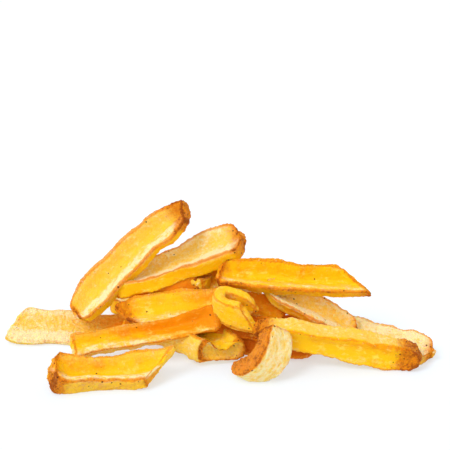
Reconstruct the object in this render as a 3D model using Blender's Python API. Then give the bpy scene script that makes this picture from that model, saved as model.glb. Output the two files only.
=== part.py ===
"""A loose heap of thick-cut fries, fused into one solid that stands on its own low fries.

Every fry is the same rule with its own sizes: a rounded square section that is dished on top, narrows
toward its ends, and may bow, twist or curl. The sizes in the tables are millimetres and degrees, as a cook
would measure them, and the finished heap is in metres with +Z up.
"""
import math

import bpy
from mathutils import Matrix, Vector

METRES_PER_MM = 0.001

# How finely each fry is faceted
POINTS_AROUND = 12
RINGS_ALONG = 9

# What every fry has in common
CORNER_POWER = 0.45      # 1 gives an oval section, 0 a square one
END_BULGE = 1.0          # how far a cut end swells past the last ring
END_RING = 0.5           # where the one ring on a cut end lies, from its middle (0) to its rim (1)
END_ROUNDING = 0.7       # how quickly an end closes
SIDE_DISH = 0.8          # how far the side faces have sunk in frying
THIN_SHARE = 0.7         # an end loses this share as much thickness as width

# The sizes of a plain fry, wherever the table below gives none of its own.
# at is the fry's middle. heading turns it on the table, rise lifts its far end and roll tips its top
# toward the front. dish is the depth of the hollow along its top, and bow the angle it bends through,
# ends up, over bow_share of its length. sweep bends it sideways. taper is the width left at each end,
# and slant skews the two cuts.
PLAIN_FRY = dict(length=60, width=18, thick=9, heading=0, rise=0, roll=0, dish=2, bow=0, bow_share=1,
                 sweep=0, twist=0, taper=(0.8, 0.8), slant=(0, 0), rings=RINGS_ALONG)

# The fries that lie on the table at the front and the sides
LOW_FRIES = dict(
    front_left=dict(at=(-63, -34, 7.2), length=62, width=25.5, thick=11, heading=5, rise=0.5, roll=20,
                    dish=5.5, bow=34, taper=(0.72, 0.72), slant=(0, 0.7)),
    left_slab=dict(at=(-81, 15, 5.6), length=76, width=22, thick=5, heading=2, rise=-4, roll=40,
                   dish=0.8, bow=8, taper=(0.95, 0.9), slant=(0.4, 0)),
    low_channel=dict(at=(-43, -10.5, 16.5), length=81, width=19, heading=9.5, rise=9.5, roll=42,
                     dish=4.5, bow=8, twist=34),
    front_stub=dict(at=(-14, -13, 8.5), length=50, width=19, thick=11, heading=-22, rise=2, roll=-2,
                    dish=4, bow=40, taper=(0.7, 0.95)),
    front_curl=dict(at=(26, -33, 12), length=45, width=20, heading=-5, rise=65, roll=-47,
                    dish=0.5, bow=185, taper=(0.6, 0.8), rings=13),
    bottom_fry=dict(at=(17, -6, 9), length=58, width=19, heading=-3, roll=72),
    big_front_right=dict(at=(65, -16, 13.5), length=90, width=17, thick=12.5, heading=-2, rise=-9.5,
                         roll=96, dish=2.2, taper=(0.5, 0.75)),
    far_right_slab=dict(at=(87, 3, 6.5), length=66, width=22, thick=8, heading=-16, rise=-2, roll=12,
                        dish=1.5, bow=-4, taper=(0.8, 0.7)),
    behind_right=dict(at=(48, 8, 10), length=52, width=15, heading=-5, rise=-5, roll=20, bow=4),
)

# The fries that lie across the low ones
UPPER_FRIES = dict(
    middle_channel=dict(at=(-22, 6, 26), length=62, width=19, heading=3, rise=5, roll=38,
                        dish=3, bow=5, slant=(-0.6, 0)),
    orange_fry=dict(at=(-34, 18, 29), length=54, width=16, thick=8, heading=6, rise=15, roll=60,
                    dish=1.5, bow=-6),
    speckled_fry=dict(at=(-7, 26, 33), length=42, width=17, heading=6, rise=16, roll=50, bow=4),
    cut_end=dict(at=(-12, 40, 29), length=50, width=17, thick=10, heading=84, rise=-12),
    under_hook=dict(at=(11, 0, 17), length=44, width=15, thick=8, heading=-6, rise=-10, roll=50,
                    dish=1.5, bow=4),
    shaded_fry=dict(at=(14, 13, 23), length=42, thick=8, rise=-5, roll=60, dish=3, bow=-10),
    hook=dict(at=(-3, -1, 30.5), length=52, width=17, thick=6, heading=75, rise=6, roll=102,
              dish=1, bow=165, bow_share=0.45, taper=(0.8, 0.7), rings=17),
    right_spoon=dict(at=(51, 9, 22.5), length=62, thick=7, heading=-9, rise=-25, roll=28,
                     dish=2.5, bow=-6, taper=(0.8, 0.6)),
    right_channel=dict(at=(37, 12, 41), length=74, thick=8, heading=-4, rise=-3, roll=42,
                       dish=4.5, bow=-6, slant=(0.3, -0.8)),
    top_beam=dict(at=(-24, 26, 41.5), length=78, width=24, thick=11, heading=6, rise=21, roll=9,
                  dish=2.5, bow=6, taper=(0.75, 1)),
    top_slab=dict(at=(-52, 25, 49), length=81, width=19, thick=8, heading=14, rise=42, roll=42,
                  dish=3.5, bow=6, sweep=-4, taper=(0.85, 0.8)),
)

# The fries at the back and in the middle, which carry the others
BACK_FRIES = dict(
    back_left=dict(at=(-34, 42, 5.5), length=66, width=19, thick=11, heading=-20, roll=6, bow=4),
    back_low=dict(at=(-14, 54, 6), length=72, thick=12, heading=14, roll=-6, bow=-4),
    back_cross=dict(at=(-24, 46, 17), length=70, thick=11, heading=60, rise=-14, roll=12,
                    dish=2.5, bow=6),
    back_lean=dict(at=(0, 40, 15), length=70, width=17, thick=11, heading=158, rise=14, roll=-24,
                   dish=2.5, bow=6),
    back_right=dict(at=(8, 38, 6), length=56, width=19, thick=11, heading=-25, roll=4, bow=4),
    base_left=dict(at=(-30, 16, 7), length=50, thick=14, heading=-4, dish=1.5),
    base_middle=dict(at=(0, 20, 7.5), length=50, width=20, thick=15, heading=6, dish=1.5),
    base_upper=dict(at=(-24, 24, 18.5), length=52, thick=12, heading=10, rise=4, roll=6, dish=1.5),
)

# The table's top is z = 0, and what would dip below it is flattened
TABLE_BLOCK = (400, 300, 40)

# Where the middle of the heap's footprint lies in the tables above
HEAP_MIDDLE = (-1.12, 15.74)

POTATO_COLOUR = (0.93, 0.62, 0.16, 1)
POTATO_ROUGHNESS = 0.5


def signed_power(value, power):
    """The power of a number, with the number's own sign."""
    return math.copysign(abs(value) ** power, value)


def section_point(fry, angle, end_share, closing):
    """One point of the rounded square section, as (sideways, up).

    end_share runs from -1 at the first end to 1 at the last, and closing is 1 on the body and falls to 0
    at the middle of a cut end.
    """
    across = signed_power(math.cos(angle), CORNER_POWER)
    height = signed_power(math.sin(angle), CORNER_POWER)
    near_first = max(-end_share, 0) ** 4
    near_last = max(end_share, 0) ** 4
    narrowing = (1 - fry["taper"][0]) * near_first + (1 - fry["taper"][1]) * near_last
    size = closing ** END_ROUNDING
    fade = 1 - abs(end_share) ** 8

    side = fry["width"] / 2 * (1 - narrowing) * across * size
    up = fry["thick"] / 2 * (1 - THIN_SHARE * narrowing) * height * size
    up -= fry["dish"] * (1 - across ** 2) * max(height, 0) * fade * size
    side -= SIDE_DISH * (1 - height ** 2) * across * fade
    return side, up


def bend(fry, along, up):
    """Carries a point onto the fry's bow, an arc that lifts both ends."""
    if fry["bow"] == 0:
        return along, up
    half_arc = fry["bow_share"] * fry["length"] / 2
    radius = 2 * half_arc / math.radians(fry["bow"])
    on_arc = max(-half_arc, min(half_arc, along))
    angle = on_arc / radius
    past_arc = along - on_arc
    bent_along = radius * math.sin(angle) + past_arc * math.cos(angle) - up * math.sin(angle)
    bent_up = radius * (1 - math.cos(angle)) + past_arc * math.sin(angle) + up * math.cos(angle)
    return bent_along, bent_up


def fry_point(fry, angle, end_share, closing):
    """One point of a fry's skin, before it is laid in the heap."""
    side, up = section_point(fry, angle, end_share, closing)
    near_first = max(-end_share, 0) ** 4
    near_last = max(end_share, 0) ** 4
    along = fry["length"] / 2 * end_share
    along += side * (fry["slant"][0] * near_first + fry["slant"][1] * near_last)
    along += math.copysign(END_BULGE * (1 - closing ** 2), end_share)
    turn = math.radians(fry["twist"]) / 2 * end_share
    side, up = (side * math.cos(turn) - up * math.sin(turn), side * math.sin(turn) + up * math.cos(turn))
    along, up = bend(fry, along, up)
    return Vector((along, side + fry["sweep"] * end_share ** 2, up))


def laid_in_place(fry):
    """The turn and shift, in metres, that lay a fry in the heap."""
    turn = Matrix.Rotation(math.radians(fry["heading"]), 4, "Z")
    turn = turn @ Matrix.Rotation(math.radians(-fry["rise"]), 4, "Y")
    turn = turn @ Matrix.Rotation(math.radians(fry["roll"]), 4, "X")
    x, y, z = fry["at"]
    middle = Vector((x - HEAP_MIDDLE[0], y - HEAP_MIDDLE[1], z))
    return Matrix.Scale(METRES_PER_MM, 4) @ Matrix.Translation(middle) @ turn


def make_fry(name, own_sizes):
    """One closed fry: rings along its body, one ring on each cut end and a point in the end's middle."""
    fry = {**PLAIN_FRY, **own_sizes}
    last = fry["rings"] - 1
    rings = [(-1, END_RING)]
    rings += [(2 * ring / last - 1, 1) for ring in range(fry["rings"])]
    rings += [(1, END_RING)]
    angles = [math.tau * step / POINTS_AROUND for step in range(POINTS_AROUND)]

    points = [fry_point(fry, angle, end_share, closing) for end_share, closing in rings for angle in angles]
    first_tip = len(points)
    points.append(fry_point(fry, 0, -1, 0))
    last_tip = len(points)
    points.append(fry_point(fry, 0, 1, 0))

    faces = []
    last_ring = (len(rings) - 1) * POINTS_AROUND
    for step in range(POINTS_AROUND):
        beside = (step + 1) % POINTS_AROUND
        for ring in range(len(rings) - 1):
            low = ring * POINTS_AROUND
            high = low + POINTS_AROUND
            faces.append((low + step, low + beside, high + beside, high + step))
        faces.append((first_tip, beside, step))
        faces.append((last_tip, last_ring + step, last_ring + beside))

    mesh = bpy.data.meshes.new(name)
    place = laid_in_place(fry)
    mesh.from_pydata([place @ point for point in points], [], faces)
    return bpy.data.objects.new(name, mesh)


def table_block():
    """A block whose top is the table, to flatten what rests on it."""
    half_x, half_y, deep = (size / 2 * METRES_PER_MM for size in TABLE_BLOCK)
    corners = [(x, y, z) for x in (-half_x, half_x) for y in (-half_y, half_y) for z in (-2 * deep, 0)]
    sides = [(0, 1, 3, 2), (4, 6, 7, 5), (0, 4, 5, 1), (2, 3, 7, 6), (0, 2, 6, 4), (1, 5, 7, 3)]
    mesh = bpy.data.meshes.new("table_block")
    mesh.from_pydata(corners, [], sides)
    return bpy.data.objects.new("table_block", mesh)


def apply_modifiers(thing):
    """Bakes an object's modifiers into its mesh."""
    depsgraph = bpy.context.evaluated_depsgraph_get()
    baked = bpy.data.meshes.new_from_object(thing.evaluated_get(depsgraph))
    thing.modifiers.clear()
    thing.data = baked


def shells(mesh):
    """The mesh's separate closed skins, each a list of its faces."""
    faces_at = {}
    for face in mesh.polygons:
        for corner in face.vertices:
            faces_at.setdefault(corner, []).append(face.index)
    found = []
    waiting = set(range(len(mesh.polygons)))
    while waiting:
        reached = [waiting.pop()]
        for index in reached:
            for corner in mesh.polygons[index].vertices:
                fresh = [other for other in faces_at[corner] if other in waiting]
                waiting.difference_update(fresh)
                reached.extend(fresh)
        found.append(reached)
    return found


def keep_largest_shell(thing):
    """Fills hollows that the fusing sealed and drops loose scraps: only the outer skin stays."""
    mesh = thing.data
    outer = max(shells(mesh), key=len)
    used = sorted({corner for index in outer for corner in mesh.polygons[index].vertices})
    number = {corner: place for place, corner in enumerate(used)}
    points = [mesh.vertices[corner].co.copy() for corner in used]
    faces = [[number[corner] for corner in mesh.polygons[index].vertices] for index in outer]
    skin = bpy.data.meshes.new(thing.name)
    skin.from_pydata(points, [], faces)
    thing.data = skin


def potato_material():
    """Fried potato, golden and half matt."""
    material = bpy.data.materials.new("fried_potato")
    material.use_nodes = True
    shader = material.node_tree.nodes["Principled BSDF"]
    shader.inputs["Base Color"].default_value = POTATO_COLOUR
    shader.inputs["Roughness"].default_value = POTATO_ROUGHNESS
    return material


def build_heap():
    """Fuses all the fries, flattens the heap on the table and returns it."""
    fries = [make_fry(name, sizes) for name, sizes in {**LOW_FRIES, **UPPER_FRIES, **BACK_FRIES}.items()]
    heap = fries.pop(0)
    heap.name = "fries_heap"
    bpy.context.scene.collection.objects.link(heap)
    joined = bpy.data.collections.new("joined_fries")
    bpy.context.scene.collection.children.link(joined)
    for fry in fries:
        joined.objects.link(fry)

    union = heap.modifiers.new("join", "BOOLEAN")
    union.operation = "UNION"
    union.solver = "EXACT"
    union.operand_type = "COLLECTION"
    union.collection = joined
    apply_modifiers(heap)

    table = table_block()
    bpy.context.scene.collection.objects.link(table)
    flatten = heap.modifiers.new("flatten", "BOOLEAN")
    flatten.operation = "DIFFERENCE"
    flatten.solver = "EXACT"
    flatten.object = table
    apply_modifiers(heap)

    for helper in fries + [table]:
        bpy.data.objects.remove(helper)
    bpy.data.collections.remove(joined)
    keep_largest_shell(heap)
    heap.data.materials.append(potato_material())
    return heap


for leftover in list(bpy.data.objects):
    bpy.data.objects.remove(leftover)
build_heap()
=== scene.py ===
# %% [markdown]
# # A loose heap of thick-cut fries
# The object is a heap of thick-cut potato fries that lie across each other on a table. Each fry was cut
# with a knife as a rough square stick. In the hot oil its faces sank and turned golden, its edges stayed
# proud and crisped, and the thin ones curled up.
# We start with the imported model, which gives us the real size and place of everything.

# %% Load the frame
import math

import bpy
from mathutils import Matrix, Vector


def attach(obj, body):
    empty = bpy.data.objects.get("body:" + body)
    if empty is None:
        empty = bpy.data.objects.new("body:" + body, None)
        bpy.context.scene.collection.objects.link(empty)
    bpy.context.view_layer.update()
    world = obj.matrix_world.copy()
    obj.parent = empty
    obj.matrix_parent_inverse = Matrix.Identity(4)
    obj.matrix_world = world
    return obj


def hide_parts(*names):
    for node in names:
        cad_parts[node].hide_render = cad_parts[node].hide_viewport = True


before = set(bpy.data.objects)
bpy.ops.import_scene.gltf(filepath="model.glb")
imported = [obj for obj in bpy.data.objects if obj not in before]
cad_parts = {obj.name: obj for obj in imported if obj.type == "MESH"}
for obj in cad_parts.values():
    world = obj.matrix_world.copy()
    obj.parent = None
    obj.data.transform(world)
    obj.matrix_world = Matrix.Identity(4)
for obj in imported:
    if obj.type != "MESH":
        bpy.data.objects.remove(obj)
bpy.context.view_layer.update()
MM = 0.001
print("frame nodes:", sorted(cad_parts))

# %% [markdown]
# ## The camera and the light
# The heap is seen from a little above, with a long lens from about a metre away, so that the fries keep
# their true proportions. We place the camera on a line that climbs by the viewing angle from a point above
# the heap, and we turn it to look back down that line.

# %% Camera
VIEW_CLIMB = math.radians(25.5)
VIEW_DISTANCE = 0.900
LOOK_AT = Vector((0.0025, -0.0157, 0.080))
LENS_MM = 131.2
SENSOR_MM = 36.0

camera_data = bpy.data.cameras.new("camera")
camera_data.lens = LENS_MM
camera_data.sensor_width = SENSOR_MM
camera_data.clip_start = 0.01
camera = bpy.data.objects.new("camera", camera_data)
camera.location = LOOK_AT + VIEW_DISTANCE * Vector((0, -math.cos(VIEW_CLIMB), math.sin(VIEW_CLIMB)))
camera.rotation_euler = (math.pi / 2 - VIEW_CLIMB, 0, 0)
bpy.context.scene.collection.objects.link(camera)
bpy.context.scene.camera = camera
print("camera at", [round(value, 3) for value in camera.location])

# %% [markdown]
# The main light is a wide, soft sun from the upper left and a little in front, so the shadows are short and
# fall to the right. A much weaker and softer light from the front lifts the near sides. Even white light
# from all round keeps the shaded hollows orange and not black.

# %% Sky and lights
SKY_STRENGTH = 0.98
SUN_STRENGTH = 1.35
SUN_SPREAD = math.radians(24)
SUN_FROM = Vector((-0.52, -0.42, 0.82))
FILL_STRENGTH = 0.28
FILL_SPREAD = math.radians(50)
FILL_FROM = Vector((0.10, -1.00, 0.30))

scene = bpy.context.scene
scene.view_settings.view_transform = "Standard"
scene.view_settings.look = "None"
world = bpy.data.worlds.new("studio")
world.use_nodes = True
sky = world.node_tree.nodes["Background"]
sky.inputs["Color"].default_value = (1, 1, 1, 1)
sky.inputs["Strength"].default_value = SKY_STRENGTH
scene.world = world


def add_sun(name, strength, spread, comes_from):
    """A far, soft light that shines from one direction."""
    data = bpy.data.lights.new(name, "SUN")
    data.energy = strength
    data.angle = spread
    lamp = bpy.data.objects.new(name, data)
    lamp.rotation_euler = comes_from.to_track_quat("Z", "Y").to_euler()
    scene.collection.objects.link(lamp)


add_sun("main_light", SUN_STRENGTH, SUN_SPREAD, SUN_FROM)
add_sun("fill_light", FILL_STRENGTH, FILL_SPREAD, FILL_FROM)
print("lights:", SKY_STRENGTH, "all round,", SUN_STRENGTH, "from the left,", FILL_STRENGTH, "from the front")

# %% [markdown]
# A bright, plain table makes the golden colours glow, because it throws light back up under the heap.
# It gives off a little light of its own, like a white plate of glass lit from below. The golden fries throw
# warm light on it, so its paint is slightly blue, and its shadows stay grey.

# %% Table
TABLE_HALF = 4.0
TABLE_COLOUR = (0.38, 0.44, 0.50, 1)
TABLE_GLOW = 0.50
TABLE_ROUGHNESS = 0.6
TABLE_SHINE = 0.1

table_mesh = bpy.data.meshes.new("table")
table_corners = [(-1, -1), (1, -1), (1, 1), (-1, 1)]
table_places = [(x * TABLE_HALF, y * TABLE_HALF, 0) for x, y in table_corners]
table_mesh.from_pydata(table_places, [], [(0, 1, 2, 3)])
table = bpy.data.objects.new("table", table_mesh)
scene.collection.objects.link(table)
table_paint = bpy.data.materials.new("table_white")
table_paint.use_nodes = True
table_shader = table_paint.node_tree.nodes["Principled BSDF"]
table_shader.inputs["Base Color"].default_value = TABLE_COLOUR
table_shader.inputs["Roughness"].default_value = TABLE_ROUGHNESS
table_shader.inputs["Specular IOR Level"].default_value = TABLE_SHINE
table_shader.inputs["Emission Color"].default_value = (1, 1, 1, 1)
table_shader.inputs["Emission Strength"].default_value = TABLE_GLOW
table_mesh.materials.append(table_paint)
print("table:", 2 * TABLE_HALF, "m wide, glowing at", TABLE_GLOW)

# %% [markdown]
# ## Sums in a node tree
# A fry's shape and its browning both come from long sums. Written node by node they are hard to read, so
# this small helper wraps a socket: adding, multiplying or comparing two wrapped sockets places the Math
# node and links it. The same helper serves the geometry tree and the material tree.

# %% A socket that can be calculated with
class Term:
    """A number running through a node tree."""

    def __init__(self, tree, socket):
        self.tree = tree
        self.socket = socket

    def sum(self, operation, *others):
        node = self.tree.nodes.new("ShaderNodeMath")
        node.operation = operation
        for place, value in enumerate((self,) + others):
            plug(self.tree, value, node.inputs[place])
        return Term(self.tree, node.outputs[0])

    def __add__(self, other):
        return self.sum("ADD", other)

    def __sub__(self, other):
        return self.sum("SUBTRACT", other)

    def __mul__(self, other):
        return self.sum("MULTIPLY", other)

    def __truediv__(self, other):
        return self.sum("DIVIDE", other)

    def __pow__(self, other):
        return self.sum("POWER", other)

    def __rsub__(self, other):
        return (self * -1.0).sum("ADD", other)

    __radd__ = __add__
    __rmul__ = __mul__

    def largest(self, other):
        return self.sum("MAXIMUM", other)

    def smallest(self, other):
        return self.sum("MINIMUM", other)

    def size(self):
        return self.sum("ABSOLUTE")

    def sign(self):
        return self.sum("SIGN")


def plug(tree, value, socket):
    """Feeds a socket from a wrapped socket, a bare socket or a plain number."""
    if isinstance(value, Term):
        tree.links.new(value.socket, socket)
    elif isinstance(value, bpy.types.NodeSocket):
        tree.links.new(value, socket)
    else:
        socket.default_value = value


def ramp(term, low, high):
    """0 below low, 1 above high, with a smooth step between."""
    node = term.tree.nodes.new("ShaderNodeMapRange")
    node.interpolation_type = "SMOOTHSTEP"
    plug(term.tree, term, node.inputs["Value"])
    plug(term.tree, low, node.inputs["From Min"])
    plug(term.tree, high, node.inputs["From Max"])
    return Term(term.tree, node.outputs["Result"])


def noise(tree, place, grain, detail=2.0, roughness=0.5, seed=0.0):
    """Soft random values round 0, from about -0.5 to 0.5, with lumps about grain metres across."""
    node = tree.nodes.new("ShaderNodeTexNoise")
    node.noise_dimensions = "4D"
    plug(tree, place, node.inputs["Vector"])
    plug(tree, seed, node.inputs["W"])
    node.inputs["Scale"].default_value = 1 / grain
    node.inputs["Detail"].default_value = detail
    node.inputs["Roughness"].default_value = roughness
    return (Term(tree, node.outputs[0]) - 0.5) * 2.0


def vector(tree, x, y, z):
    """Three terms as one vector."""
    node = tree.nodes.new("ShaderNodeCombineXYZ")
    for value, socket in zip((x, y, z), node.inputs):
        plug(tree, value, socket)
    return node.outputs[0]


print("helpers ready: Term, ramp, noise, vector")

# %% [markdown]
# ## One rule for every fry
# All the fries follow one rule, so a single Geometry Nodes tree makes them, and a modifier with its own
# numbers gives each its shape. The tree starts from a closed cylinder of radius 1: its height says how far
# along the fry a point is, its angle says where round the section, and on the two flat ends its radius
# says how far the cut has closed. That way the skin stays in one piece, with no seam to weld.

# %% The tree and its named inputs
NUMBER_INPUTS = ("Length", "Width", "Thickness", "Dish", "Lip", "Bow", "Bow Share", "Sweep", "Twist",
                 "First Taper", "Last Taper", "First Round", "Last Round", "First Slant", "Last Slant",
                 "Unevenness", "Crag", "Seed", "First Toast And Shade", "Last Toast And Shade", "Top Cream",
                 "Side Cream", "First Brown", "Last Brown", "Side Brown", "First Thin", "Last Thin",
                 "Side Dish", "End Cup", "Rim")

fry_tree = bpy.data.node_groups.new("cut_fry", "GeometryNodeTree")
fry_tree.is_modifier = True
for name in NUMBER_INPUTS:
    fry_tree.interface.new_socket(name, in_out="INPUT", socket_type="NodeSocketFloat")
for name in ("Middle", "Turn"):
    fry_tree.interface.new_socket(name, in_out="INPUT", socket_type="NodeSocketVector")
for name in ("Round", "Rings"):
    fry_tree.interface.new_socket(name, in_out="INPUT", socket_type="NodeSocketInt")
fry_tree.interface.new_socket("Potato", in_out="INPUT", socket_type="NodeSocketMaterial")
fry_tree.interface.new_socket("Fry", in_out="OUTPUT", socket_type="NodeSocketGeometry")
fry_inputs = fry_tree.nodes.new("NodeGroupInput")
given = {socket.name: Term(fry_tree, socket) for socket in fry_inputs.outputs if socket.name}
print("tree inputs:", ", ".join(given))

# %% [markdown]
# The blank is the closed cylinder. We read off the three readings that the rule needs, and name them.

# %% The blank and its readings
END_RINGS = 12

blank = fry_tree.nodes.new("GeometryNodeMeshCylinder")
blank.fill_type = "TRIANGLE_FAN"
plug(fry_tree, given["Round"], blank.inputs["Vertices"])
plug(fry_tree, given["Rings"], blank.inputs["Side Segments"])
blank.inputs["Fill Segments"].default_value = END_RINGS
blank.inputs["Radius"].default_value = 1.0
blank.inputs["Depth"].default_value = 2.0

where = fry_tree.nodes.new("GeometryNodeInputPosition")
split = fry_tree.nodes.new("ShaderNodeSeparateXYZ")
fry_tree.links.new(where.outputs[0], split.inputs[0])
blank_x, blank_y, end_share = (Term(fry_tree, socket) for socket in split.outputs)
closing = (blank_x * blank_x + blank_y * blank_y) ** 0.5
print("blank: a closed cylinder with", END_RINGS, "rings on each cut end")

# %% [markdown]
# ### The section
# A knife-cut stick has a square section with soft corners. A superellipse gives that from one number: the
# higher the power, the squarer. The other powers say how near to an end a change begins: a low one for the
# taper, a high one for an end that is round like a tongue.

# %% The square section
SQUARENESS = 7.0
END_ROUNDING = 0.7
TAPER_POWER = 4.0
TONGUE_POWER = 16.0
RIM_POWER = 60.0
RIM_SOFTENING = 0.05
NEARLY_ZERO = 1e-6

outward = (blank_x.size() ** SQUARENESS + blank_y.size() ** SQUARENESS) ** (1 / SQUARENESS)
across = blank_x / outward.largest(NEARLY_ZERO)
height = blank_y / outward.largest(NEARLY_ZERO)
toward_first = (end_share * -1.0).largest(0.0)
toward_last = end_share.largest(0.0)
near_first = toward_first ** TAPER_POWER
near_last = toward_last ** TAPER_POWER
narrowing = (1 - given["First Taper"]) * near_first + (1 - given["Last Taper"]) * near_last
tongue = given["First Round"] * toward_first ** TONGUE_POWER
tongue = tongue + given["Last Round"] * toward_last ** TONGUE_POWER
size = (closing ** END_ROUNDING) * (1 - RIM_SOFTENING * end_share.size() ** RIM_POWER)
print("section: a superellipse of power", SQUARENESS)

# %% [markdown]
# The hollow along the top and the sunken sides are what frying did: the middle of each face dried and sank,
# and the corners did not. The hollow lies between two lips and fades out before the ends. Where an end is
# cupped it runs right through that end, and the cut face sank too.

# %% Hollows, sides and cut ends
HOLLOW_POWER = 8.0
NEAR_WALL = (-1.1, -0.3)
FAR_WALL = (0.1, 1.05)
CUP_DEPTH = 6.0 * MM
CUP_WALL = (0.3, 0.9)
THIN_SHARE = 0.7
END_BULGE = 1.8 * MM

cupped = (given["End Cup"] / CUP_DEPTH).smallest(1.0) * end_share.sum("GREATER_THAN", 0.0)
fade = 1 - (end_share.size() ** HOLLOW_POWER) * (1 - cupped)
trough = ramp(across, given["Lip"] + NEAR_WALL[0], given["Lip"] + NEAR_WALL[1])
trough = trough * (1 - ramp(across, *FAR_WALL))
hollow = trough * height.largest(0.0) * fade * size

side = given["Width"] * 0.5 * (1 - narrowing) * (1 - tongue) * across * size
side = side - given["Side Dish"] * (1 - height * height) * across * fade * size
thinning = THIN_SHARE * narrowing + given["First Thin"] * toward_first * toward_first
thinning = thinning + given["Last Thin"] * toward_last * toward_last
up = given["Thickness"] * 0.5 * (1 - thinning) * height * size
up = up - given["Dish"] * hollow
along = given["Length"] * 0.5 * end_share
along = along + side * (given["First Slant"] * near_first + given["Last Slant"] * near_last)
along = along + END_BULGE * (1 - closing * closing) * end_share.sign()
cup = (1 - ramp(closing, *CUP_WALL)) * cupped
along = along - given["End Cup"] * cup
print("section rule written with", len(fry_tree.nodes), "nodes so far")

# %% [markdown]
# No two cuts of a knife are the same, so the width and thickness wander slowly along the fry. Each noise
# adds a step of its own to the fry's seed, so that no two of its patterns agree.

# %% Uneven cutting
WANDER_GRAIN = 22 * MM
SIDE_DRIFT = 6 * MM

lengthwise = vector(fry_tree, along, 0.0, 0.0)
wide_wander = noise(fry_tree, lengthwise, WANDER_GRAIN, 1.0, 0.5, given["Seed"])
thick_wander = noise(fry_tree, lengthwise, WANDER_GRAIN, 1.0, 0.5, given["Seed"] + 7.0)
drift = noise(fry_tree, lengthwise, WANDER_GRAIN * 2, 0.0, 0.5, given["Seed"] + 13.0)
side = side * (1 + wide_wander * given["Unevenness"]) + drift * given["Unevenness"] * SIDE_DRIFT
up = up * (1 + thick_wander * given["Unevenness"])
print("width and thickness wander every", round(WANDER_GRAIN / MM), "mm")

# %% [markdown]
# The four ridges are the crispest part. They cooked into a ragged line, each with its own waves and nicks,
# and the two cut ends tore a little. The waves must run along a ridge, so their noise takes the distance
# along the fry and a step that only tells the four ridges apart.

# %% Ragged ridges and torn ends
RIDGE_STEP = 0.05
RIDGE_WAVE = 3.0 * MM
RIDGE_RAGGED = 1.2 * MM
END_RAGGED = 2.0 * MM
RIDGE_BAND = (0.6, 0.9)
CUT_FACE_FADE = (0.6, 1.0)
TEAR_POWER = 24.0

to_corner = across.size().smallest(height.size())
ridge = ramp(to_corner, *RIDGE_BAND)
own_ridge = vector(fry_tree, along, across.sign() * RIDGE_STEP, height.sign() * RIDGE_STEP)
up_waves = noise(fry_tree, own_ridge, RIDGE_WAVE, 3.0, 0.7, given["Seed"] + 21.0)
side_waves = noise(fry_tree, own_ridge, RIDGE_WAVE, 3.0, 0.7, given["Seed"] + 29.0)
ragged = ridge * given["Crag"] * RIDGE_RAGGED * ramp(closing, *CUT_FACE_FADE)
up = up + up_waves * ragged * height.sign()
side = side + side_waves * ragged * across.sign()

cut_face = vector(fry_tree, side, up, end_share.sign() * RIDGE_STEP)
torn = noise(fry_tree, cut_face, RIDGE_WAVE, 3.0, 0.6, given["Seed"] + 37.0)
end_tear = torn * (end_share.size() ** TEAR_POWER) * given["Crag"] * END_RAGGED
along = along + end_tear
print("ridges wander by", RIDGE_RAGGED / 2 / MM, "mm at the most")

# %% [markdown]
# ### Twist, bow and curl
# A twist turns the section as it goes along. A bow bends the fry through an angle on a circle, and where
# the bow takes only a share of the length, the rest runs on straight. The same sum makes a gently bowed
# stick and a tight curl. A straight fry would need an endless radius, so it gets a bow too small to see.

# %% Twist and bow
NO_BOW = 1e-4
UNSEEN_BOW = 1e-3

turn = given["Twist"] * 0.5 * end_share
turned_side = side * turn.sum("COSINE") - up * turn.sum("SINE")
turned_up = side * turn.sum("SINE") + up * turn.sum("COSINE")

half_arc = given["Bow Share"] * given["Length"] * 0.5
safe_bow = given["Bow"] + given["Bow"].size().sum("LESS_THAN", NO_BOW) * UNSEEN_BOW
radius = half_arc * 2.0 / safe_bow
on_arc = along.smallest(half_arc).largest(half_arc * -1.0)
past_arc = along - on_arc
bend = on_arc / radius
bent_along = radius * bend.sum("SINE") + past_arc * bend.sum("COSINE") - turned_up * bend.sum("SINE")
bent_up = radius * (1 - bend.sum("COSINE")) + past_arc * bend.sum("SINE") + turned_up * bend.sum("COSINE")
swept_side = turned_side + given["Sweep"] * end_share * end_share
bent_place = vector(fry_tree, bent_along, swept_side, bent_up)
print("twist and bow written,", len(fry_tree.nodes), "nodes so far")

# %% [markdown]
# ### What the finish will need to know
# The colour of a fry follows its shape: crisp edges, golden hollows, browned cut ends, and skin where the
# potato's outside was. So the tree stores these readings on the mesh before it bends it. Patterns then
# follow the fry round its bow, as the potato's own grain does.

# %% A way to store a reading
def store(geometry, name, value, kind="FLOAT"):
    """Keeps a value on every point of the mesh under a name that the material can read."""
    node = fry_tree.nodes.new("GeometryNodeStoreNamedAttribute")
    node.data_type = kind
    node.domain = "POINT"
    node.inputs["Name"].default_value = name
    fry_tree.links.new(geometry, node.inputs["Geometry"])
    plug(fry_tree, value, next(socket for socket in node.inputs if socket.name == "Value" and socket.enabled))
    return node.outputs["Geometry"]


print("helper ready: store")

# %% [markdown]
# An edge is where both the way across and the height are near their ends, and also the outer ring of a cut
# face. The crest is the thin top of an edge. A browned end reaches further the browner it is, but on a
# cupped end only its rim is brown. Places on the fry are moved by its seed, so no two fries share spots.

# %% Readings on the fry
EDGE_BAND = (0.64, 0.92)
CREST_BAND = (0.80, 0.90)
CUT_EDGE = 2.5 * MM
CUT_CREST = 0.9 * MM
EDGE_RING = (0.7, 0.98)
CREST_RING = (0.85, 1.0)
TOP_BAND = (0.55, 0.95)
SIDE_BAND = (0.75, 0.98)
TIP_REACH = 17 * MM
LEAST_REACH = 1 * MM
CUP_SHORTENING = 0.75
SEED_ALONG = 0.31
SEED_SIDE = 0.17

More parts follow.
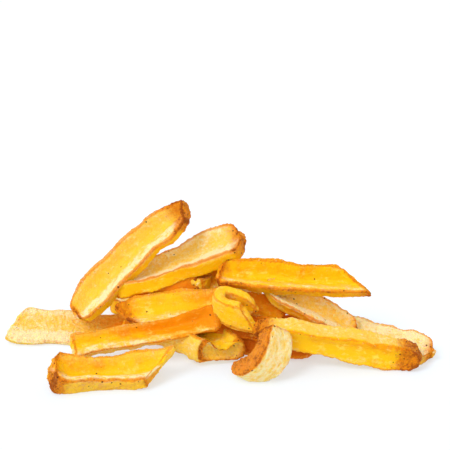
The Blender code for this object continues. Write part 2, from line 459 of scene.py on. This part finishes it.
from_first = given["Length"] * 0.5 * (1 + end_share)
from_last = given["Length"] * 0.5 * (1 - end_share)
from_cut = from_first.smallest(from_last)
corner = ramp(to_corner, *EDGE_BAND).largest(1 - ramp(from_cut, 0.0, CUT_EDGE))
corner = corner * ramp(closing, *EDGE_RING) * given["Rim"]
crest = ramp(to_corner, *CREST_BAND).largest(1 - ramp(from_cut, 0.0, CUT_CREST))
crest = crest * ramp(closing, *CREST_RING) * given["Rim"]
top_face = ramp(height, *TOP_BAND)
first_reach = given["First Brown"] * TIP_REACH + LEAST_REACH
first_tip = 1 - ramp(from_first, 0.0, first_reach)
last_reach = given["Last Brown"] * TIP_REACH * (1 - cupped * CUP_SHORTENING) + LEAST_REACH
last_tip = (1 - ramp(from_last, 0.0, last_reach)) * (1 - cup)
brown_side = ramp(across * given["Side Brown"].sign() * -1.0, *SIDE_BAND) * given["Side Brown"].size()
brown = given["First Brown"] * first_tip + given["Last Brown"] * last_tip + brown_side
to_last = end_share * 0.5 + 0.5
creamed = given["Top Cream"] * top_face + given["Side Cream"] * (1 - top_face)
# Toast here is partly real toasting and partly painted shade: high values darken fries that lie in shadow.
toasted_and_shaded = given["First Toast And Shade"] * (1 - to_last) + given["Last Toast And Shade"] * to_last
tips = (first_tip + last_tip).smallest(1.0)
place_along = along + given["Seed"] * SEED_ALONG
shifted_place = vector(fry_tree, place_along, side + given["Seed"] * SEED_SIDE, up)
print("readings worked out with", len(fry_tree.nodes), "nodes so far")

# %% [markdown]
# Each reading goes on the mesh under its own name, and the finish asks for it by that name later. This
# happens while the blank is still straight, because a bend would mix up along, across and up.

# %% Store the readings
mesh_so_far = blank.outputs["Mesh"]
mesh_so_far = store(mesh_so_far, "edge", corner)
mesh_so_far = store(mesh_so_far, "crest", crest)
mesh_so_far = store(mesh_so_far, "top_face", top_face)
mesh_so_far = store(mesh_so_far, "section_side", across)
mesh_so_far = store(mesh_so_far, "tips", tips)
mesh_so_far = store(mesh_so_far, "brown", brown)
mesh_so_far = store(mesh_so_far, "toast_and_shade", toasted_and_shaded)
mesh_so_far = store(mesh_so_far, "cream", creamed)
mesh_so_far = store(mesh_so_far, "fry_place", shifted_place, "FLOAT_VECTOR")
print("stored: edge, crest, top_face, section_side, tips, brown, toast, cream, fry_place")

# %% [markdown]
# ### Crags and blisters
# Once the fry has its form, we push its skin in and out along its own normals. Long soft swells come from
# uneven drying, mid-size crags gather on the edges, where steam broke out, and a fine crisp grain lies over
# everything. These are real changes of the mesh, so they also show in the outline.

# %% Helpers that read and move the mesh
def named_vector(name):
    """Reads a stored vector back inside the geometry tree."""
    node = fry_tree.nodes.new("GeometryNodeInputNamedAttribute")
    node.data_type = "FLOAT_VECTOR"
    node.inputs["Name"].default_value = name
    return node.outputs["Attribute"]


def named_number(name):
    """Reads a stored number back inside the geometry tree."""
    node = fry_tree.nodes.new("GeometryNodeInputNamedAttribute")
    node.data_type = "FLOAT"
    node.inputs["Name"].default_value = name
    return Term(fry_tree, node.outputs["Attribute"])


def move(geometry, position=None, offset=None):
    """A Set Position step."""
    node = fry_tree.nodes.new("GeometryNodeSetPosition")
    fry_tree.links.new(geometry, node.inputs["Geometry"])
    if position is not None:
        fry_tree.links.new(position, node.inputs["Position"])
    if offset is not None:
        fry_tree.links.new(offset, node.inputs["Offset"])
    return node.outputs["Geometry"]


print("helpers ready: named_vector, named_number, move")

# %% [markdown]
# Each relief has the size of its lumps and how far they push. The golden faces stay nearly smooth, and the
# edges, the mealy faces and the browned ends are rough.

# %% Bend the blank, then roughen it
SWELL = (14 * MM, 1.4 * MM)
CRAG = (4.0 * MM, 0.9 * MM)
CRISP = (1.4 * MM, 0.55 * MM)
BLISTER = (3.2 * MM, 0.3 * MM)
BLISTER_STEP = (0.25, 0.6)
SMOOTH_FACE = 0.2
EDGE_ROUGH = 0.8
CREAM_ROUGH = 0.45
BROWN_ROUGH = 0.4

mesh_so_far = move(mesh_so_far, position=bent_place)

on_fry = named_vector("fry_place")
rough_here = named_number("edge") * EDGE_ROUGH + named_number("cream") * CREAM_ROUGH
rough_here = rough_here + named_number("brown") * BROWN_ROUGH + SMOOTH_FACE
swell = noise(fry_tree, on_fry, SWELL[0], 1.0) * SWELL[1]
crag = noise(fry_tree, on_fry, CRAG[0], 3.0, 0.6) * CRAG[1] * rough_here
crisp = noise(fry_tree, on_fry, CRISP[0], 2.0, 0.6) * CRISP[1] * rough_here
blister = ramp(noise(fry_tree, on_fry, BLISTER[0], 1.0), *BLISTER_STEP) * BLISTER[1] * rough_here
relief = (swell + crag + crisp + blister) * given["Crag"]
outwards = fry_tree.nodes.new("GeometryNodeInputNormal")
push = fry_tree.nodes.new("ShaderNodeVectorMath")
push.operation = "SCALE"
fry_tree.links.new(outwards.outputs[0], push.inputs[0])
plug(fry_tree, relief, push.inputs["Scale"])
mesh_so_far = move(mesh_so_far, offset=push.outputs[0])
print("relief up to about", round((SWELL[1] + CRAG[1] + CRISP[1]) / 2 / MM, 2), "mm each way")

# %% [markdown]
# ### Laid on the heap
# The fry is turned and carried to its place. What would sink below the table is pressed flat on it, as a
# soft fry's underside is. The tree ends with Realize Instances and Set Material.

# %% Turn, place and finish the tree
here = fry_tree.nodes.new("GeometryNodeInputPosition")
as_turn = fry_tree.nodes.new("FunctionNodeEulerToRotation")
turned = fry_tree.nodes.new("FunctionNodeRotateVector")
placed = fry_tree.nodes.new("ShaderNodeVectorMath")
placed.operation = "ADD"
plug(fry_tree, given["Turn"], as_turn.inputs[0])
fry_tree.links.new(here.outputs[0], turned.inputs["Vector"])
fry_tree.links.new(as_turn.outputs[0], turned.inputs["Rotation"])
fry_tree.links.new(turned.outputs[0], placed.inputs[0])
plug(fry_tree, given["Middle"], placed.inputs[1])
split_place = fry_tree.nodes.new("ShaderNodeSeparateXYZ")
fry_tree.links.new(placed.outputs[0], split_place.inputs[0])
on_table = Term(fry_tree, split_place.outputs[2]).largest(0.0)
resting = vector(fry_tree, split_place.outputs[0], split_place.outputs[1], on_table)
mesh_so_far = move(mesh_so_far, position=resting)

smooth = fry_tree.nodes.new("GeometryNodeSetShadeSmooth")
realize = fry_tree.nodes.new("GeometryNodeRealizeInstances")
coat = fry_tree.nodes.new("GeometryNodeSetMaterial")
tree_output = fry_tree.nodes.new("NodeGroupOutput")
fry_tree.links.new(mesh_so_far, smooth.inputs["Geometry"])
fry_tree.links.new(smooth.outputs["Geometry"], realize.inputs["Geometry"])
fry_tree.links.new(realize.outputs["Geometry"], coat.inputs["Geometry"])
plug(fry_tree, given["Potato"], coat.inputs["Material"])
fry_tree.links.new(coat.outputs["Geometry"], tree_output.inputs["Fry"])
print("the finished tree has", len(fry_tree.nodes), "nodes")

# %% [markdown]
# ## The finish of fried potato
# Look closely at a fry and there is no single colour. The hollow is a clear golden yellow, because it is
# thin and the light goes through it. The faces are mottled with cream where the potato stayed mealy. The
# edges carry a fine orange crust that breaks up into short dashes, and the cut ends are browner. Where
# there was skin it is brown with dark specks. We mix these one over the other, each through its own mask.

# %% Colour helpers
def colour(red, green, blue):
    """A colour picked on a screen, as the linear values that the shader works with."""
    channels = [value / 255 for value in (red, green, blue)]
    linear = [value / 12.92 if value <= 0.04045 else ((value + 0.055) / 1.055) ** 2.4 for value in channels]
    return (*linear, 1)


def over(tree, lower, upper, mask):
    """Lays one colour over another through a mask from 0 to 1."""
    node = tree.nodes.new("ShaderNodeMix")
    node.data_type = "RGBA"
    node.clamp_factor = True
    plug(tree, mask, node.inputs[0])
    plug(tree, lower, node.inputs[6])
    plug(tree, upper, node.inputs[7])
    return node.outputs[2]


def reading(tree, name):
    """A value that the geometry tree stored on the mesh."""
    node = tree.nodes.new("ShaderNodeAttribute")
    node.attribute_name = name
    return Term(tree, node.outputs["Fac"])


print("middle grey in linear light:", round(colour(128, 128, 128)[0], 3))

# %% [markdown]
# We begin with what the masks are made of: the readings that the mesh carries, and noise at the size of each
# real feature. The potato's own grain runs along the fry, so some of the noise is stretched that way.

# %% Readings and noises
STRETCH = (0.35, 1.0, 1.0)
STREAK_GRAIN = 2.4 * MM
CLOUD_GRAIN = 6.0 * MM
PATCH_GRAIN = 12 * MM
PORE_GRAIN = 2.0 * MM
CRUMB_GRAIN = 1.1 * MM
DASH_GRAIN = 3.0 * MM

potato = bpy.data.materials.new("fried_potato")
potato.use_nodes = True
potato_tree = potato.node_tree
shader = potato_tree.nodes["Principled BSDF"]

place_node = potato_tree.nodes.new("ShaderNodeAttribute")
place_node.attribute_name = "fry_place"
on_skin = place_node.outputs["Vector"]
streaks = potato_tree.nodes.new("ShaderNodeMapping")
streaks.inputs["Scale"].default_value = STRETCH
potato_tree.links.new(on_skin, streaks.inputs["Vector"])
along_grain = streaks.outputs["Vector"]

edge = reading(potato_tree, "edge")
crest = reading(potato_tree, "crest")
top_face = reading(potato_tree, "top_face")
section_side = reading(potato_tree, "section_side")
tips_here = reading(potato_tree, "tips")
brown_here = reading(potato_tree, "brown")
# The toast reading is partly real toasting and partly painted shade on fries that lie in shadow.
toast_and_shade = reading(potato_tree, "toast_and_shade")
cream = reading(potato_tree, "cream")

streaky = noise(potato_tree, along_grain, STREAK_GRAIN, 4.0, 0.65)
clouds = noise(potato_tree, on_skin, CLOUD_GRAIN, 3.0, 0.6)
patches = noise(potato_tree, on_skin, PATCH_GRAIN, 2.0, 0.5)
pores = noise(potato_tree, on_skin, PORE_GRAIN, 3.0, 0.7, 5.0)
grain = noise(potato_tree, on_skin, CRUMB_GRAIN, 2.0, 0.7)
dashes = noise(potato_tree, along_grain, DASH_GRAIN, 3.0, 0.6, 9.0)
skinless = 1 - brown_here.smallest(1.0)
print("eight readings and six noises ready")

# %% [markdown]
# The pale masks come first. The lip of a hollow that faces the front is cream, partly mealy potato and partly
# a painted highlight where that lip faces the light. The far lip gets only a little, and a well toasted fry
# or one with painted shade has hardly any. The palest places sit inside the cream ones, and a thin painted
# highlight runs along the far crest. Each mask is a weighted sum, and its step says where it starts and where
# it is full.

# %% Cream and pale masks
NEAR_LIP = (0.1, 0.5)
FAR_LIP = (0.35, 0.9)
FAR_CREST = (0.5, 0.8)
TOASTED_AND_SHADED = (0.5, 1.5)
CREAM_STEP = (0.12, 0.75)
PALE_STEP = (0.6, 1.15)

# The near lip is partly mealy cream and partly a painted highlight where it faces the light.
near_lip = ramp(section_side * -1.0, *NEAR_LIP)
far_lip = ramp(section_side, *FAR_LIP)
lips = top_face * (near_lip * (0.6 + streaky * 0.8 + clouds * 0.7).largest(0.0) + far_lip * 0.25)
creamy = cream + lips - ramp(toast_and_shade, *TOASTED_AND_SHADED) * 0.6 + streaky * 0.4 + clouds * 0.35 + pores * 0.25
cream_mask = ramp(creamy, *CREAM_STEP)
# A thin painted highlight along the far crest: it makes the crest paler and thins the crust there.
far_crest_highlight = crest * ramp(section_side, *FAR_CREST) * skinless
pale_mask = ramp(creamy + pores * 0.5 + far_crest_highlight * 0.3, *PALE_STEP)
print("masks ready: cream, pale")

# %% [markdown]
# The crust runs along the edges and breaks up into dashes. The browned ends have ragged borders, and the
# darkest brown comes in spots. Crumbs of light and dark grain lie where the surface is rough.

# %% Crust, brown and grain masks
RIM_STEP = (0.38, 0.9)
CREST_STEP = (0.5, 0.9)
TIP_STEP = (0.3, 0.9)
BROWN_STEP = (0.72, 1.25)
GRAIN_STEP = (0.14, 0.45)

rim_mask = ramp(edge + dashes * 0.45 + pores * 0.5 + brown_here * 0.3, *RIM_STEP)
crest_mask = ramp(crest * 0.75 + dashes * 0.6 + grain * 0.5 + toast_and_shade * 0.2 - far_crest_highlight * 0.2, *CREST_STEP)
tip_mask = ramp(brown_here * 0.9 + tips_here * 0.1 + edge * 0.15 + clouds * 0.35 + pores * 0.45, *TIP_STEP)
brown_mask = ramp(brown_here * 0.8 + edge * 0.35 + clouds * 0.7 + pores * 0.7 + grain * 0.5, *BROWN_STEP)
rough_spots = (0.15 + cream_mask * 0.6 + rim_mask * 0.9 + tip_mask * 0.9).smallest(1.0)
crumbs = pores * 0.6 + grain * 0.7
light_grain = ramp(crumbs, *GRAIN_STEP) * rough_spots * (1 - tip_mask * 0.6)
dark_grain = ramp(crumbs * -1.0, *GRAIN_STEP) * rough_spots
print("masks ready: rim, crest, tip, brown, light and dark grain")

# %% [markdown]
# The golden flesh itself is not even. It is deeper where the fry is toasted, and deeper still on the far wall
# of a hollow, which is painted shade. It is lighter in streaks, less so where the shade is painted. Where the
# toast values run highest, on fries that lie in shadow, a deep orange of painted shade goes over it.

# %% Masks of the golden flesh
WALL_BAND = (-0.2, 0.8)
DEEP_GOLD_AND_SHADE_STEP = (0.15, 1.15)
LIGHT_STEP = (0.0, 0.4)
PAINTED_SHADE_STEP = (1.1, 1.9)

# Painted shade on the far wall of a hollow, which faces away from the light.
far_wall_shade = top_face * ramp(section_side, *WALL_BAND)
deep_gold_and_shade_mask = ramp(toast_and_shade + patches * 0.6 + clouds * 0.6 - pores * 0.3 + far_wall_shade * 0.4, *DEEP_GOLD_AND_SHADE_STEP)
light_mask = ramp(streaky * 0.8 + clouds * 0.6 + pores * 0.4 - far_wall_shade * 0.1 - toast_and_shade * 0.1, *LIGHT_STEP)
# Painted shade: a deep orange for fries that lie in shadow, where the toast values run highest.
painted_shade_mask = ramp(toast_and_shade + patches * 0.3, *PAINTED_SHADE_STEP)
print("masks ready: deep, light, painted_shade")

# %% [markdown]
# The dark specks are small, crisp-edged dots with no pattern. A cell noise places one possible dot in each
# cell, and only a few cells get theirs: more where the fry is browned, few on the clear golden faces.

# %% Specks
SPECK_CELL = 2.6 * MM
SPECK_SIZE = 0.20
SPECK_SHARE = 0.07
SPECK_SOFTNESS = 0.06
SPECKS_ON_BROWN = 0.45
SPECKS_ON_EDGE = 0.16

cells = potato_tree.nodes.new("ShaderNodeTexVoronoi")
cells.inputs["Scale"].default_value = 1 / SPECK_CELL
potato_tree.links.new(on_skin, cells.inputs["Vector"])
cell_draw = potato_tree.nodes.new("ShaderNodeSeparateColor")
potato_tree.links.new(cells.outputs["Color"], cell_draw.inputs[0])
cell_distance = Term(potato_tree, cells.outputs["Distance"])
cell_chance = Term(potato_tree, cell_draw.outputs[0])
cell_size = Term(potato_tree, cell_draw.outputs[1])
dot_size = cell_size * SPECK_SIZE
dot = 1 - ramp(cell_distance + grain * 0.08, dot_size, dot_size + SPECK_SOFTNESS)
wanted = brown_here * SPECKS_ON_BROWN + edge * SPECKS_ON_EDGE + SPECK_SHARE
chosen = cell_chance.sum("LESS_THAN", wanted)
speck_mask = dot * chosen
print("specks in about", round(SPECK_SHARE * 100), "% of the", SPECK_CELL / MM, "mm cells")

# %% [markdown]
# Then the colours, from the golden flesh up to the darkest specks. They are written as the eye sees them,
# from 0 to 255, and the helper turns them into linear light.

# %% The colours of a fry
GOLDEN = colour(250, 191, 10)
LIGHT_GOLD = colour(255, 224, 100)
# The deep gold is partly toasted gold and partly painted shade, and the deep orange after it is painted
# shade.
DEEP_GOLD_AND_SHADE = colour(236, 144, 0)
PAINTED_SHADE_ORANGE = colour(206, 104, 0)
CREAM = colour(255, 204, 86)
PALE = colour(255, 232, 178)
RIM = colour(240, 148, 16)
CREST = colour(220, 116, 10)
TIP = colour(228, 131, 12)
BROWN = colour(142, 62, 10)
SPECK = colour(80, 32, 8)
LIGHT_GRAIN = colour(255, 235, 184)
DARK_GRAIN = colour(226, 138, 20)
print("GOLDEN in linear light:", [round(value, 3) for value in GOLDEN[:3]])

# %% [markdown]
# Each colour goes over the ones before it through its mask. A number below one leaves some of the lower
# colours showing, as a thin crust does.

# %% Colours laid over each other
layers = [
    (DEEP_GOLD_AND_SHADE, deep_gold_and_shade_mask),
    (LIGHT_GOLD, light_mask * 0.7),
    (PAINTED_SHADE_ORANGE, painted_shade_mask),
    (CREAM, cream_mask * 0.9),
    (PALE, pale_mask * 0.9),
    (RIM, rim_mask * (1 - far_crest_highlight * 0.2) * 0.85),
    (CREST, crest_mask * 0.55),
    (TIP, tip_mask * 0.93),
    (LIGHT_GRAIN, light_grain * skinless * 0.6),
    (DARK_GRAIN, dark_grain * 0.6),
    (BROWN, brown_mask * 0.8),
    (SPECK, speck_mask * 0.9),
]
flesh = GOLDEN
for paint, mask in layers:
    flesh = over(potato_tree, flesh, paint, mask)
potato_tree.links.new(flesh, shader.inputs["Base Color"])
print(len(layers), "colours laid over the golden flesh")

# %% [markdown]
# Oil leaves a soft, broken shine, and the cream parts are drier and rougher than the golden ones. The fine
# grain is a bump, too small to build as shape, and it is strongest where the surface is rough. A thin fry
# lets some light through, which the subsurface setting gives, stronger for red than for blue.

# %% Shine, glow and fine grain
FINISH = {
    "IOR": 1.4,
    "Specular IOR Level": 0.14,
    "Subsurface Weight": 0.4,
    "Subsurface Radius": (1.0, 0.45, 0.08),
    "Subsurface Scale": 3 * MM,
}
GOLDEN_GLOSS = 0.48
BUMP_HEIGHT = 1.0 * MM
LEAST_BUMP = 0.15

gloss = GOLDEN_GLOSS + grain * 0.25 + cream_mask * 0.12
potato_tree.links.new(gloss.socket, shader.inputs["Roughness"])
for name, value in FINISH.items():
    shader.inputs[name].default_value = value

roughened = LEAST_BUMP + rough_spots
bump = potato_tree.nodes.new("ShaderNodeBump")
bump.inputs["Strength"].default_value = 1.0
bump.inputs["Distance"].default_value = BUMP_HEIGHT
plug(potato_tree, (grain * 0.5 + pores * 1.2) * roughened, bump.inputs["Height"])
potato_tree.links.new(bump.outputs["Normal"], shader.inputs["Normal"])
print("fried potato finish has", len(potato_tree.nodes), "nodes")

# %% [markdown]
# ## The heap
# Each fry has its own sizes in millimetres and degrees, and what it leaves out it takes from a plain fry.
# `at` is its middle. `heading` turns it on the table, `rise` lifts its last end, `roll` tips its top toward
# the camera, `twist` turns one end against the other, `bow` is the angle it bends through over `bow_share`
# of its length, and `sweep` bends it sideways.
# `dish` is the depth of its hollow, and `lip` widens the lip on its near side. `side_dish` sinks its sides,
# and below zero makes them bulge. `taper` is the width left at each end, and above one the end flares.
# `thin` takes thickness off each end, `round` rounds it like a tongue, `slant` skews the cut, and `cup`
# sinks the last cut face. `uneven` says how much its width wanders, and `crag` how ragged it is.
# `toast_and_shade` is how deep its gold is at each end, and its high values are painted shade on fries in
# shadow. `cream` is how mealy its top and its sides are, `brown` how dark its first end, last end and near
# side are, and `rim` how strong the crust on its edges is.
# The places were sketched before the heap was centred, so the heap's middle is taken off them. A ring of
# points every `RING_SPACING` millimetres, `ROUND` of them to a ring, is fine enough for the torn ridges.

# %% A plain fry
PLAIN_FRY = dict(length=60, width=18, thick=9, heading=0, rise=0, roll=0, dish=2, bow=0, bow_share=1,
                 sweep=0, twist=0, taper=(0.8, 0.8), round=(0.4, 0.4), slant=(0, 0), lip=0.1,
                 uneven=0.35, crag=1.0, toast_and_shade=(0.3, 0.3), cream=(0.2, 0.3), brown=(0.3, 0.3, 0),
                 thin=(0, 0), side_dish=0.8, cup=0, rim=1)
HEAP_MIDDLE = (-1.12, 15.74)
ROUND = 96
RING_SPACING = 0.58
print("a plain fry is", PLAIN_FRY["length"], "mm long")

# %% [markdown]
# The low fries lie on the table at the front and the sides. Most have a hollow that faces up and forward.
# One is short and thick with a browned, cupped end, and one curled right over as it cooked.

# %% Low fries
# High toast values paint shade: the right ends of left_slab and low_channel, bottom_fry and behind_right lie
# in shadow and get a deep orange.
LOW_FRIES = dict(
    front_left=dict(at=(-63.5, -34.5, 6), length=60, width=21.5, thick=12, heading=5, rise=0.5, roll=21,
                    dish=7, lip=0.35, bow=40, taper=(1.3, 1.05), round=(0.5, 0), slant=(0, 0.9),
                    thin=(0, 0.6), toast_and_shade=(0.15, 0), cream=(0.25, 0.5), brown=(0.6, 0, 0.52)),
    left_slab=dict(at=(-81, 16, 5.6), length=76, width=22, thick=5, heading=-2, rise=-4, roll=40,
                   dish=0.8, bow=8, taper=(0.95, 0.9), round=(0.1, 0.3), slant=(0.5, 0), toast_and_shade=(0, 1.6),
                   cream=(0.75, 0.6), brown=(0, 0.3, 0), rim=0.6),
    low_channel=dict(at=(-43, -10.5, 17.7), length=81, width=14, thick=7, heading=9.5, rise=9.5,
                     roll=51, dish=4.5, lip=0.5, bow=8, twist=14, taper=(1.3, 1.3),
                     round=(0.1, 0.2), toast_and_shade=(0, 1.45), cream=(0.25, 0.6), brown=(0, 0.2, 0)),
    front_stub=dict(at=(-18, 1, 11.2), length=48, width=22.5, thick=17, heading=-38, rise=-4, roll=-4,
                    dish=7, taper=(0.85, 0.8), round=(0.3, 0), slant=(0, 0.8), side_dish=-2.5, cup=6,
                    toast_and_shade=(-0.2, -0.2), cream=(0.2, 0.6), brown=(0, 0.65, 0), rim=1.3),
    front_curl=dict(at=(22.5, -32.5, 10.5), length=42, width=19, thick=11, heading=-5, rise=50, roll=-60,
                    dish=0.5, bow=145, taper=(0.4, 0.85), round=(0.4, 0.1), thin=(0.6, 0.1), toast_and_shade=(0, 0),
                    cream=(0.8, 0.9), brown=(0.3, 0.3, 1.0), side_dish=0.2, rim=0.7),
    bottom_fry=dict(at=(30, -3, 9), length=46, width=19, heading=-3, roll=72, toast_and_shade=(1.9, 1.9),
                    cream=(0, 0)),
    big_front_right=dict(at=(64, -15.9, 14.2), length=92, width=17, thick=12.5, heading=-2, rise=-11,
                         roll=102, twist=-26, dish=2.2, taper=(0.6, 0.85), round=(0.3, 0.5),
                         toast_and_shade=(0.15, 0.3), cream=(-0.4, 0.65), brown=(1, 1.3, 0), rim=0.8),
    far_right_slab=dict(at=(87, 2.5, 6.2), length=66, width=25, thick=8, heading=-21, rise=-2, roll=12,
                        dish=1.5, bow=-4, taper=(0.8, 0.7), round=(0.3, 0.8), toast_and_shade=(0, 0),
                        cream=(1, 0.6), brown=(0, 0.6, 0)),
    behind_right=dict(at=(48, 10, 9.5), length=52, width=15, heading=-5, rise=-5, roll=20, bow=4,
                      toast_and_shade=(1.5, 1.5), cream=(0, 0), brown=(0.6, 0.6, 0.4)),
)
print(len(LOW_FRIES), "low fries")

# %% [markdown]
# The upper fries lie across the low ones, and the highest leans up to the right. One of them folded into
# a hook in the oil. The darkest lie deep in the gaps, where little more than their colour shows, and their
# deep orange, set through high toast values, is painted shade.

# %% Upper fries
UPPER_FRIES = dict(
    middle_channel=dict(at=(-24, 6, 24.7), length=66, width=19, heading=3, rise=5, roll=38,
                        dish=4.5, lip=0.2, bow=5, taper=(0.65, 0.8), round=(0.3, 0.3), slant=(-0.8, 0),
                        toast_and_shade=(0.15, 0.25), brown=(0.9, 0.2, 0)),
    orange_fry=dict(at=(-33, 15.5, 30.6), length=38, width=16, thick=8, heading=6, rise=16, roll=60,
                    dish=1.5, bow=-8, toast_and_shade=(1.4, 1.4), cream=(0, 0), brown=(0.6, 0.9, 0.4)),
    speckled_fry=dict(at=(-7, 26, 33), length=42, width=17, heading=6, rise=16, roll=50, bow=4,
                      toast_and_shade=(0.9, 0.9), cream=(0, 0), brown=(0.4, 0.9, 0.4)),
    cut_end=dict(at=(-12, 40, 29), length=50, width=17, thick=10, heading=84, rise=-12,
                 toast_and_shade=(0.1, 0.2), brown=(0.2, 0, 0)),
    under_hook=dict(at=(11, 0, 16.5), length=44, width=16, thick=8, heading=-6, rise=-10, roll=50,
                    dish=1.5, bow=4, toast_and_shade=(1.6, 2), cream=(0, 0)),
    shaded_fry=dict(at=(14, 13, 23), length=42, thick=8, rise=-5, roll=60, dish=3, bow=-10,
                    toast_and_shade=(1.1, 1.1), cream=(0, 0)),
    hook=dict(at=(-3, -1, 32), length=48, width=14.5, thick=6, heading=75, rise=6, roll=102,
              dish=0.6, bow=170, bow_share=0.32, taper=(0.9, 0.5), round=(0, 0.7), slant=(1.1, 0),
              side_dish=-1.2, toast_and_shade=(0.3, 0.4), cream=(0.2, 0.35), rim=0.9),
    right_spoon=dict(at=(49.5, 9, 24), length=58, width=18, thick=7, heading=-9, rise=-25, roll=30,
                     dish=3.5, lip=0.3, bow=-6, taper=(0.4, 0.65), round=(0.3, 0.8), toast_and_shade=(-0.2, -0.2),
                     cream=(0.7, 0.3), brown=(0.3, 0.5, 0.2), rim=1.1),
    right_channel=dict(at=(37, 12, 41), length=76, thick=9, heading=-4, rise=-3, roll=42,
                       dish=8, lip=0.3, bow=-6, taper=(1, 0.8), round=(0.3, 0), slant=(0.2, -1.4),
                       toast_and_shade=(0.2, -0.1), cream=(0, -0.2), brown=(0.6, 0.3, 0.5), rim=1.3),
    top_beam=dict(at=(-25, 26, 43), length=78, width=24, thick=10.5, heading=6, rise=21, roll=8, twist=28,
                  dish=3.5, bow=6, taper=(0.75, 1), round=(0.2, 0.8), toast_and_shade=(0.3, 0.1),
                  cream=(0.7, 0), brown=(0.2, 0.8, 0), rim=1.3),
    top_slab=dict(at=(-53.8, 24.5, 47.3), length=86, width=22, thick=9, heading=14, rise=42, roll=42,
                  dish=5, lip=0.3, bow=6, sweep=-4, taper=(0.85, 0.55), round=(0.5, 0.1), slant=(0, 0.5),
                  uneven=0.5, thin=(0, -0.4), toast_and_shade=(0.1, 0.25), cream=(0.5, 0), brown=(0.4, 1, 0),
                  rim=1.5),
)
print(len(UPPER_FRIES), "upper fries")

# %% [markdown]
# The fries at the back and in the middle carry the others. They are finished as carefully, because the
# heap is seen from all sides.

# %% Back fries
BACK_FRIES = dict(
    back_left=dict(at=(-34, 42, 5.5), length=66, width=19, thick=11, heading=-20, roll=6, bow=4,
                   cream=(0.5, 0.2)),
    back_low=dict(at=(-14, 54, 6), length=72, thick=12, heading=14, roll=-6, bow=-4,
                  round=(0.6, 0.2), brown=(0.9, 0.2, 0)),
    back_cross=dict(at=(-24, 46, 17), length=70, thick=11, heading=60, rise=-14, roll=12,
                    dish=2.5, bow=6, round=(0.2, 0.6), toast_and_shade=(0.1, 0.2), cream=(0.6, 0.2)),
    back_lean=dict(at=(0, 40, 15), length=70, width=17, thick=11, heading=158, rise=14, roll=-24,
                   dish=2.5, bow=6, toast_and_shade=(0.4, 0.7)),
    back_right=dict(at=(8, 38, 6), length=56, width=19, thick=11, heading=-25, roll=4, bow=4,
                    round=(0.3, 0.7), toast_and_shade=(0, 0.2), cream=(0.7, 0.3)),
    base_left=dict(at=(-30, 16, 7), length=50, thick=14, heading=-4, dish=1.5, toast_and_shade=(1, 1)),
    base_middle=dict(at=(0, 20, 7.5), length=50, width=20, thick=15, heading=6, dish=1.5,
                     toast_and_shade=(1, 1)),
    base_upper=dict(at=(-24, 24, 18.5), length=52, thick=12, heading=10, rise=4, roll=6, dish=1.5,
                    toast_and_shade=(0.9, 0.9)),
)
print(len(BACK_FRIES), "back fries")

# %% [markdown]
# Now each fry gets a modifier with the tree and its own numbers. We write the numbers to the modifier by
# each socket's identifier, take the result as a plain mesh, and drop the modifier.

# %% Make every fry
def tree_settings(fry, seed):
    """The tree's inputs for one fry, by name."""
    x, y, z = fry["at"]
    place = ((x - HEAP_MIDDLE[0]) * MM, (y - HEAP_MIDDLE[1]) * MM, z * MM)
    turn = tuple(math.radians(angle) for angle in (fry["roll"], -fry["rise"], fry["heading"]))
    return {
        "Length": fry["length"] * MM, "Width": fry["width"] * MM, "Thickness": fry["thick"] * MM,
        "Dish": fry["dish"] * MM, "Side Dish": fry["side_dish"] * MM, "End Cup": fry["cup"] * MM,
        "Lip": fry["lip"], "Rim": fry["rim"], "Sweep": fry["sweep"] * MM,
        "Bow": math.radians(fry["bow"]), "Bow Share": fry["bow_share"],
        "Twist": math.radians(fry["twist"]),
        "First Taper": fry["taper"][0], "Last Taper": fry["taper"][1],
        "First Round": fry["round"][0], "Last Round": fry["round"][1],
        "First Slant": fry["slant"][0], "Last Slant": fry["slant"][1],
        "First Thin": fry["thin"][0], "Last Thin": fry["thin"][1],
        "Unevenness": fry["uneven"], "Crag": fry["crag"], "Seed": float(seed),
        "First Toast And Shade": fry["toast_and_shade"][0], "Last Toast And Shade": fry["toast_and_shade"][1],
        "Top Cream": fry["cream"][0], "Side Cream": fry["cream"][1],
        "First Brown": fry["brown"][0], "Last Brown": fry["brown"][1], "Side Brown": fry["brown"][2],
        "Middle": place, "Turn": turn,
        "Round": ROUND, "Rings": round(fry["length"] / RING_SPACING), "Potato": potato,
    }


def make_fry(name, own_sizes, seed):
    """One fry as a plain mesh at its place in the heap."""
    thing = bpy.data.objects.new(name, bpy.data.meshes.new(name))
    scene.collection.objects.link(thing)
    modifier = thing.modifiers.new("cut_fry", "NODES")
    modifier.node_group = fry_tree
    settings = tree_settings({**PLAIN_FRY, **own_sizes}, seed)
    for socket in fry_tree.interface.items_tree:
        if socket.in_out == "INPUT":
            modifier[socket.identifier] = settings[socket.name]
    depsgraph = bpy.context.evaluated_depsgraph_get()
    baked = bpy.data.meshes.new_from_object(thing.evaluated_get(depsgraph), depsgraph=depsgraph)
    baked.name = name
    thing.modifiers.clear()
    thing.data = baked
    return thing


fries = {}
for seed, (name, sizes) in enumerate({**LOW_FRIES, **UPPER_FRIES, **BACK_FRIES}.items(), start=1):
    fries[name] = make_fry(name, sizes, seed)
triangles = sum(len(polygon.vertices) - 2 for fry in fries.values() for polygon in fry.data.polygons)
print(len(fries), "fries,", triangles, "triangles in all")

# %% [markdown]
# ## Riding on the frame
# The heap is one solid in the frame, so every fry rides on its one body and stands for that solid.

# %% Tie the fries to the frame
for fry in fries.values():
    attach(fry, "root")
    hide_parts("fries_heap")
print("all fries ride on root")
